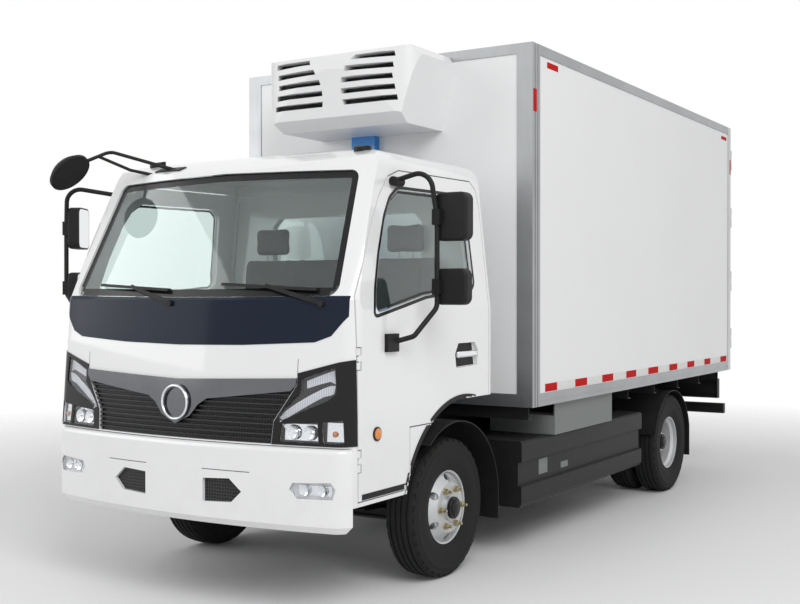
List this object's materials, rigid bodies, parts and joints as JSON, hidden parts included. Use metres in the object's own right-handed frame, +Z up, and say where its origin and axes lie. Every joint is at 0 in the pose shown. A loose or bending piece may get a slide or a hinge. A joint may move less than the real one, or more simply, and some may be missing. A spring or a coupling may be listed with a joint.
{
  "type": "refrigerated truck",
  "caption": "light forward-control truck with a tilting white cab, an insulated cargo box with double rear doors, a cooling unit on its nose and twin rear wheels",
  "frame": {"origin": "on the ground under the middle of the truck's length and width", "axes": "+X to the truck's left, +Y to its rear, +Z up"},
  "size_m": [2.6097, 5.995, 3.09],
  "materials": {
    "cab_paint": "gloss",
    "box_skin": "gloss",
    "frame_black": "satin",
    "rail_alloy": "satin",
    "steel": "satin",
    "wheel_silver": "satin",
    "tyre_black": "matte",
    "black_plastic": "matte",
    "grey_plastic": "matte",
    "unit_white": "gloss",
    "line_blue": "gloss",
    "trim_chrome": "polished",
    "cowl_gloss": "gloss",
    "clear_glass": "clear",
    "lamp_clear": "clear",
    "lamp_red": "gloss",
    "seat_cloth": "matte",
    "unit_metal": "satin"
  },
  "bodies": {
    "chassis": {"ladder_frame": "frame_black", "body_bearers": "frame_black", "front_axle": "frame_black", "rear_axle": "frame_black", "leaf_springs": "frame_black", "drive_shaft": "frame_black", "power_unit": "unit_metal", "battery_boxes": "frame_black", "service_boxes": "grey_plastic", "mudguards": "black_plastic", "rear_bumper": "frame_black", "tail_lamps": "lamp_red", "box_floor": "box_skin", "box_roof": "box_skin", "box_front_wall": "box_skin", "box_wall_left": "box_skin", "box_wall_right": "box_skin", "box_edge_rails": "rail_alloy", "rear_door_frame": "steel", "evaporator": "unit_white", "cooling_unit": "unit_white", "line_cover": "line_blue"},
    "cab": {"cab_shell": "cab_paint", "cab_glass": "clear_glass", "dashboard": "black_plastic", "steering_wheel": "black_plastic", "seats": "seat_cloth", "cowl_panel": "cowl_gloss", "grille": "black_plastic", "grille_bar": "trim_chrome", "headlamps": "black_plastic", "lamp_lenses": "lamp_clear", "front_bumper": "cab_paint", "wipers": "black_plastic", "roof_lamps": "black_plastic", "lookdown_mirror": "black_plastic"},
    "cab_door_left": {"cab_door_left": "cab_paint", "door_glass_left": "clear_glass", "mirror_set_left": "black_plastic"},
    "cab_door_right": {"cab_door_right": "cab_paint", "door_glass_right": "clear_glass", "mirror_set_right": "black_plastic"},
    "rear_door_left": {"rear_door_left": "box_skin", "lock_bar_left": "steel"},
    "rear_door_right": {"rear_door_right": "box_skin", "lock_bar_right": "steel"},
    "knuckle_left": {"steering_knuckle_left": "frame_black"},
    "knuckle_right": {"steering_knuckle_right": "frame_black"},
    "tie_rod": {"tie_rod": "frame_black"},
    "front_wheel_left": {"front_wheel_left": "wheel_silver", "front_tyre_left": "tyre_black"},
    "front_wheel_right": {"front_wheel_right": "wheel_silver", "front_tyre_right": "tyre_black"},
    "rear_wheel_left": {"rear_wheels_left": "wheel_silver", "rear_tyres_left": "tyre_black"},
    "rear_wheel_right": {"rear_wheels_right": "wheel_silver", "rear_tyres_right": "tyre_black"}
  },
  "joints": [
    {"name": "cab_tilt", "type": "hinge", "parent": "chassis", "child": "cab", "pos_m": [0, -2.7775, 0.65], "axis": [1, 0, 0], "range_deg": [0, 45]},
    {"name": "cab_door_left_hinge", "type": "hinge", "parent": "cab", "child": "cab_door_left", "pos_m": [0.995, -2.7755, 1], "axis": [0, 0, -1], "range_deg": [0, 70]},
    {"name": "cab_door_right_hinge", "type": "hinge", "parent": "cab", "child": "cab_door_right", "pos_m": [-0.995, -2.7755, 1], "axis": [0, 0, 1], "range_deg": [0, 70]},
    {"name": "rear_door_left_hinge", "type": "hinge", "parent": "chassis", "child": "rear_door_left", "pos_m": [1.092, 2.9885, 2], "axis": [0, 0, -1], "range_deg": [0, 265]},
    {"name": "rear_door_right_hinge", "type": "hinge", "parent": "chassis", "child": "rear_door_right", "pos_m": [-1.092, 2.9885, 2], "axis": [0, 0, 1], "range_deg": [0, 265]},
    {"name": "steer_left", "type": "hinge", "parent": "chassis", "child": "knuckle_left", "pos_m": [0.69, -1.7775, 0.388], "axis": [0, 0, 1], "range_deg": [-35, 35]},
    {"name": "steer_right", "type": "hinge", "parent": "chassis", "child": "knuckle_right", "pos_m": [-0.69, -1.7775, 0.388], "axis": [0, 0, 1], "range_deg": [-35, 35]},
    {"name": "tie_rod_pivot", "type": "hinge", "parent": "knuckle_left", "child": "tie_rod", "pos_m": [0.69, -1.6125, 0.304], "axis": [0, 0, 1], "range_deg": [-35, 35]},
    {"name": "front_wheel_left_spin", "type": "hinge", "parent": "knuckle_left", "child": "front_wheel_left", "pos_m": [0.816, -1.7775, 0.388], "axis": [1, 0, 0], "continuous": true},
    {"name": "front_wheel_right_spin", "type": "hinge", "parent": "knuckle_right", "child": "front_wheel_right", "pos_m": [-0.816, -1.7775, 0.388], "axis": [1, 0, 0], "continuous": true},
    {"name": "rear_wheel_left_spin", "type": "hinge", "parent": "chassis", "child": "rear_wheel_left", "pos_m": [0.827, 1.5225, 0.388], "axis": [1, 0, 0], "continuous": true},
    {"name": "rear_wheel_right_spin", "type": "hinge", "parent": "chassis", "child": "rear_wheel_right", "pos_m": [-0.827, 1.5225, 0.388], "axis": [1, 0, 0], "continuous": true}
  ],
  "couplings": [
    {"joint": "steer_right", "follows": "steer_left", "ratio": 1},
    {"joint": "tie_rod_pivot", "follows": "steer_left", "ratio": -1}
  ]
}
